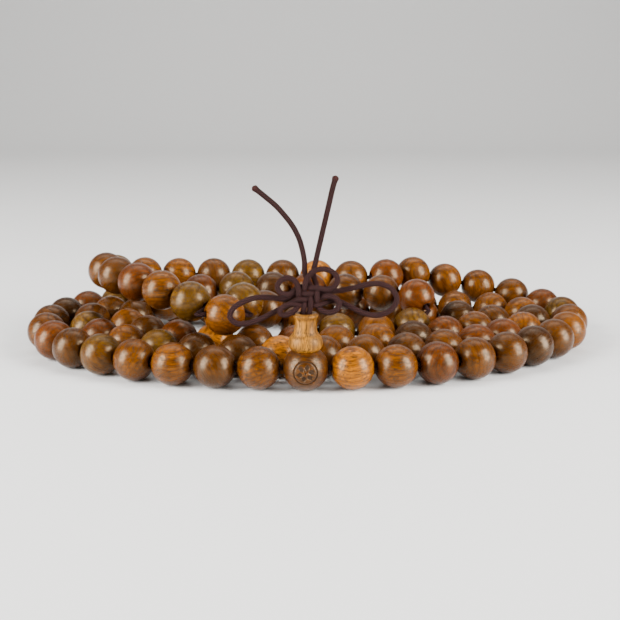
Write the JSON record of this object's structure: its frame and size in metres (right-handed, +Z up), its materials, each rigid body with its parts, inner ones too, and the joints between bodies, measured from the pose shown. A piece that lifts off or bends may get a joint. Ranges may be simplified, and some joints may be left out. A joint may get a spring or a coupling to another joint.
{
  "type": "mala prayer beads",
  "caption": "Mala of round wooden beads laid in a loose coil, with a larger guru bead, a turned tower bead and a knot of dark braided cord",
  "frame": {"origin": "Middle of the footprint of the laid-down beads, on the surface they lie on.", "axes": "+X to the right and +Y to the back, seen from the guru bead side; +Z up."},
  "size_m": [0.1214, 0.0712, 0.039],
  "materials": {
    "bead_wood": "polished",
    "guru_wood": "polished",
    "tower_wood": "satin",
    "elastic_cord": "matte"
  },
  "bodies": {
    "strand": {"cord_strand": "elastic_cord", "beads_back_lap": "bead_wood", "beads_second_lap": "bead_wood", "beads_inner_lap": "bead_wood"},
    "guru": {"guru_bead": "guru_wood", "riser_cords": "elastic_cord"},
    "tower": {"tower_bead": "tower_wood"},
    "knot": {"knot_body": "elastic_cord", "ear_left": "elastic_cord", "ear_right": "elastic_cord", "loop_left": "elastic_cord", "loop_right": "elastic_cord", "loop_low_left": "elastic_cord", "loop_low_right": "elastic_cord", "tail_left": "elastic_cord", "tail_right": "elastic_cord"},
    "body_bead_01": {"bead_01": "bead_wood"},
    "body_bead_02": {"bead_02": "bead_wood"},
    "body_bead_03": {"bead_03": "bead_wood"},
    "body_bead_04": {"bead_04": "bead_wood"},
    "body_bead_05": {"bead_05": "bead_wood"},
    "body_bead_06": {"bead_06": "bead_wood"},
    "body_bead_07": {"bead_07": "bead_wood"},
    "body_bead_08": {"bead_08": "bead_wood"},
    "body_bead_09": {"bead_09": "bead_wood"},
    "body_bead_10": {"bead_10": "bead_wood"},
    "body_bead_11": {"bead_11": "bead_wood"},
    "body_bead_12": {"bead_12": "bead_wood"},
    "body_bead_80": {"bead_80": "bead_wood"},
    "body_bead_81": {"bead_81": "bead_wood"},
    "body_bead_82": {"bead_82": "bead_wood"},
    "body_bead_83": {"bead_83": "bead_wood"},
    "body_bead_84": {"bead_84": "bead_wood"},
    "body_bead_85": {"bead_85": "bead_wood"},
    "body_bead_86": {"bead_86": "bead_wood"},
    "body_bead_87": {"bead_87": "bead_wood"},
    "body_bead_88": {"bead_88": "bead_wood"},
    "body_bead_89": {"bead_89": "bead_wood"},
    "body_bead_90": {"bead_90": "bead_wood"},
    "body_bead_91": {"bead_91": "bead_wood"},
    "body_bead_92": {"bead_92": "bead_wood"},
    "body_bead_93": {"bead_93": "bead_wood"},
    "body_bead_94": {"bead_94": "bead_wood"},
    "body_bead_95": {"bead_95": "bead_wood"},
    "body_bead_96": {"bead_96": "bead_wood"},
    "body_bead_97": {"bead_97": "bead_wood"},
    "body_bead_98": {"bead_98": "bead_wood"},
    "body_bead_99": {"bead_99": "bead_wood"},
    "body_bead_100": {"bead_100": "bead_wood"},
    "body_bead_101": {"bead_101": "bead_wood"},
    "body_bead_102": {"bead_102": "bead_wood"},
    "body_bead_103": {"bead_103": "bead_wood"},
    "body_bead_104": {"bead_104": "bead_wood"},
    "body_bead_105": {"bead_105": "bead_wood"},
    "body_bead_106": {"bead_106": "bead_wood"},
    "body_bead_107": {"bead_107": "bead_wood"},
    "body_bead_108": {"bead_108": "bead_wood"}
  },
  "joints": [
    {"name": "guru_swing", "type": "hinge", "parent": "strand", "child": "guru", "pos_m": [-0.00119, -0.03138, 0.0042], "axis": [1, 0, 0], "range_deg": [-12, 70]},
    {"name": "tower_spin", "type": "hinge", "parent": "guru", "child": "tower", "pos_m": [-0.00119, -0.03138, 0.0042], "axis": [0, 0, 1], "continuous": true},
    {"name": "knot_twist", "type": "hinge", "parent": "guru", "child": "knot", "pos_m": [-0.00119, -0.03138, 0.0175], "axis": [0, 0, 1], "range_deg": [-30, 30]},
    {"name": "spin_bead_01", "type": "hinge", "parent": "strand", "child": "body_bead_01", "pos_m": [-0.00972, -0.03083, 0.00405], "axis": [-0.995, 0.0992, -0.012], "continuous": true},
    {"name": "spin_bead_02", "type": "hinge", "parent": "strand", "child": "body_bead_02", "pos_m": [-0.01782, -0.02972, 0.004], "axis": [-0.9849, 0.1732, -0.0034], "continuous": true},
    {"name": "spin_bead_03", "type": "hinge", "parent": "strand", "child": "body_bead_03", "pos_m": [-0.02582, -0.02799, 0.004], "axis": [-0.9566, 0.2913, 0], "continuous": true},
    {"name": "spin_bead_04", "type": "hinge", "parent": "strand", "child": "body_bead_04", "pos_m": [-0.03342, -0.02498, 0.004], "axis": [-0.9014, 0.433, 0], "continuous": true},
    {"name": "spin_bead_05", "type": "hinge", "parent": "strand", "child": "body_bead_05", "pos_m": [-0.04052, -0.02093, 0.004], "axis": [-0.8366, 0.5478, 0], "continuous": true},
    {"name": "spin_bead_06", "type": "hinge", "parent": "strand", "child": "body_bead_06", "pos_m": [-0.04708, -0.01603, 0.004], "axis": [-0.724, 0.6898, 0], "continuous": true},
    {"name": "spin_bead_07", "type": "hinge", "parent": "strand", "child": "body_bead_07", "pos_m": [-0.05228, -0.00972, 0.004], "axis": [-0.5322, 0.8466, 0], "continuous": true},
    {"name": "spin_bead_08", "type": "hinge", "parent": "strand", "child": "body_bead_08", "pos_m": [-0.05571, -0.0023, 0.004], "axis": [-0.2707, 0.9627, 0], "continuous": true},
    {"name": "spin_bead_09", "type": "hinge", "parent": "strand", "child": "body_bead_09", "pos_m": [-0.05666, 0.00583, 0.004], "axis": [0.019, 0.9998, 0], "continuous": true},
    {"name": "spin_bead_10", "type": "hinge", "parent": "strand", "child": "body_bead_10", "pos_m": [-0.0554, 0.01391, 0.004], "axis": [0.2838, 0.9589, 0], "continuous": true},
    {"name": "spin_bead_11", "type": "hinge", "parent": "strand", "child": "body_bead_11", "pos_m": [-0.05205, 0.02137, 0.004], "axis": [0.5604, 0.8282, 0], "continuous": true},
    {"name": "spin_bead_12", "type": "hinge", "parent": "strand", "child": "body_bead_12", "pos_m": [-0.04637, 0.02725, 0.004], "axis": [0.8172, 0.5764, 0], "continuous": true},
    {"name": "spin_bead_80", "type": "hinge", "parent": "strand", "child": "body_bead_80", "pos_m": [-0.02386, -0.01449, 0.01298], "axis": [-0.8147, 0.5468, 0.1931], "continuous": true},
    {"name": "spin_bead_81", "type": "hinge", "parent": "strand", "child": "body_bead_81", "pos_m": [-0.03018, -0.00947, 0.01429], "axis": [-0.747, 0.6549, 0.114], "continuous": true},
    {"name": "spin_bead_82", "type": "hinge", "parent": "strand", "child": "body_bead_82", "pos_m": [-0.03605, -0.0038, 0.01484], "axis": [-0.6859, 0.7259, 0.0503], "continuous": true},
    {"name": "spin_bead_83", "type": "hinge", "parent": "strand", "child": "body_bead_83", "pos_m": [-0.04138, 0.00239, 0.01511], "axis": [-0.5541, 0.8324, 0.0022], "continuous": true},
    {"name": "spin_bead_84", "type": "hinge", "parent": "strand", "child": "body_bead_84", "pos_m": [-0.04504, 0.0097, 0.01488], "axis": [-0.1975, 0.9719, -0.128], "continuous": true},
    {"name": "spin_bead_85", "type": "hinge", "parent": "strand", "child": "body_bead_85", "pos_m": [-0.04449, 0.01767, 0.0131], "axis": [0.3986, 0.8918, -0.2139], "continuous": true},
    {"name": "spin_bead_86", "type": "hinge", "parent": "strand", "child": "body_bead_86", "pos_m": [-0.0389, 0.02344, 0.01158], "axis": [0.821, 0.5543, -0.1371], "continuous": true},
    {"name": "spin_bead_87", "type": "hinge", "parent": "strand", "child": "body_bead_87", "pos_m": [-0.03136, 0.02653, 0.0109], "axis": [0.9748, 0.2176, -0.0486], "continuous": true},
    {"name": "spin_bead_88", "type": "hinge", "parent": "strand", "child": "body_bead_88", "pos_m": [-0.02319, 0.02695, 0.0108], "axis": [0.9998, -0.0036, -0.0182], "continuous": true},
    {"name": "spin_bead_89", "type": "hinge", "parent": "strand", "child": "body_bead_89", "pos_m": [-0.01503, 0.02647, 0.01061], "axis": [0.9979, -0.064, -0.0107], "continuous": true},
    {"name": "spin_bead_90", "type": "hinge", "parent": "strand", "child": "body_bead_90", "pos_m": [-0.00687, 0.0259, 0.01063], "axis": [0.9941, -0.108, 0.0075], "continuous": true},
    {"name": "spin_bead_91", "type": "hinge", "parent": "strand", "child": "body_bead_91", "pos_m": [0.00122, 0.02471, 0.01073], "axis": [0.981, -0.1934, 0.0165], "continuous": true},
    {"name": "spin_bead_92", "type": "hinge", "parent": "strand", "child": "body_bead_92", "pos_m": [0.00916, 0.02274, 0.0109], "axis": [0.9905, -0.1331, 0.0347], "continuous": true},
    {"name": "spin_bead_93", "type": "hinge", "parent": "strand", "child": "body_bead_93", "pos_m": [0.01733, 0.02254, 0.0113], "axis": [0.9588, 0.2837, 0.0133], "continuous": true},
    {"name": "spin_bead_94", "type": "hinge", "parent": "strand", "child": "body_bead_94", "pos_m": [0.02408, 0.02716, 0.0111], "axis": [0.9115, 0.3892, -0.1329], "continuous": true},
    {"name": "spin_bead_95", "type": "hinge", "parent": "strand", "child": "body_bead_95", "pos_m": [0.03187, 0.02875, 0.00918], "axis": [0.9708, 0.1161, -0.2099], "continuous": true},
    {"name": "spin_bead_96", "type": "hinge", "parent": "strand", "child": "body_bead_96", "pos_m": [0.0399, 0.02905, 0.00768], "axis": [0.9756, -0.0832, -0.2032], "continuous": true},
    {"name": "spin_bead_97", "type": "hinge", "parent": "strand", "child": "body_bead_97", "pos_m": [0.04771, 0.0274, 0.00588], "axis": [0.8808, -0.4238, -0.2111], "continuous": true},
    {"name": "spin_bead_98", "type": "hinge", "parent": "strand", "child": "body_bead_98", "pos_m": [0.05392, 0.02231, 0.00432], "axis": [0.5691, -0.8136, -0.1193], "continuous": true},
    {"name": "spin_bead_99", "type": "hinge", "parent": "strand", "child": "body_bead_99", "pos_m": [0.05666, 0.01461, 0.004], "axis": [0.1455, -0.9891, -0.0202], "continuous": true},
    {"name": "spin_bead_100", "type": "hinge", "parent": "strand", "child": "body_bead_100", "pos_m": [0.05625, 0.00644, 0.004], "axis": [-0.1732, -0.9849, 0], "continuous": true},
    {"name": "spin_bead_101", "type": "hinge", "parent": "strand", "child": "body_bead_101", "pos_m": [0.05384, -0.00138, 0.004], "axis": [-0.4157, -0.9095, 0], "continuous": true},
    {"name": "spin_bead_102", "type": "hinge", "parent": "strand", "child": "body_bead_102", "pos_m": [0.04951, -0.00831, 0.004], "axis": [-0.6062, -0.7953, 0], "continuous": true},
    {"name": "spin_bead_103", "type": "hinge", "parent": "strand", "child": "body_bead_103", "pos_m": [0.04397, -0.01433, 0.004], "axis": [-0.7238, -0.69, 0], "continuous": true},
    {"name": "spin_bead_104", "type": "hinge", "parent": "strand", "child": "body_bead_104", "pos_m": [0.03769, -0.01957, 0.004], "axis": [-0.8095, -0.5871, 0], "continuous": true},
    {"name": "spin_bead_105", "type": "hinge", "parent": "strand", "child": "body_bead_105", "pos_m": [0.03076, -0.02391, 0.004], "axis": [-0.8836, -0.4682, 0], "continuous": true},
    {"name": "spin_bead_106", "type": "hinge", "parent": "strand", "child": "body_bead_106", "pos_m": [0.02328, -0.02721, 0.004], "axis": [-0.9398, -0.3416, 0], "continuous": true},
    {"name": "spin_bead_107", "type": "hinge", "parent": "strand", "child": "body_bead_107", "pos_m": [0.01542, -0.02949, 0.004], "axis": [-0.9746, -0.224, 0.0034], "continuous": true},
    {"name": "spin_bead_108", "type": "hinge", "parent": "strand", "child": "body_bead_108", "pos_m": [0.00736, -0.03087, 0.00405], "axis": [-0.9935, -0.1133, 0.012], "continuous": true}
  ]
}
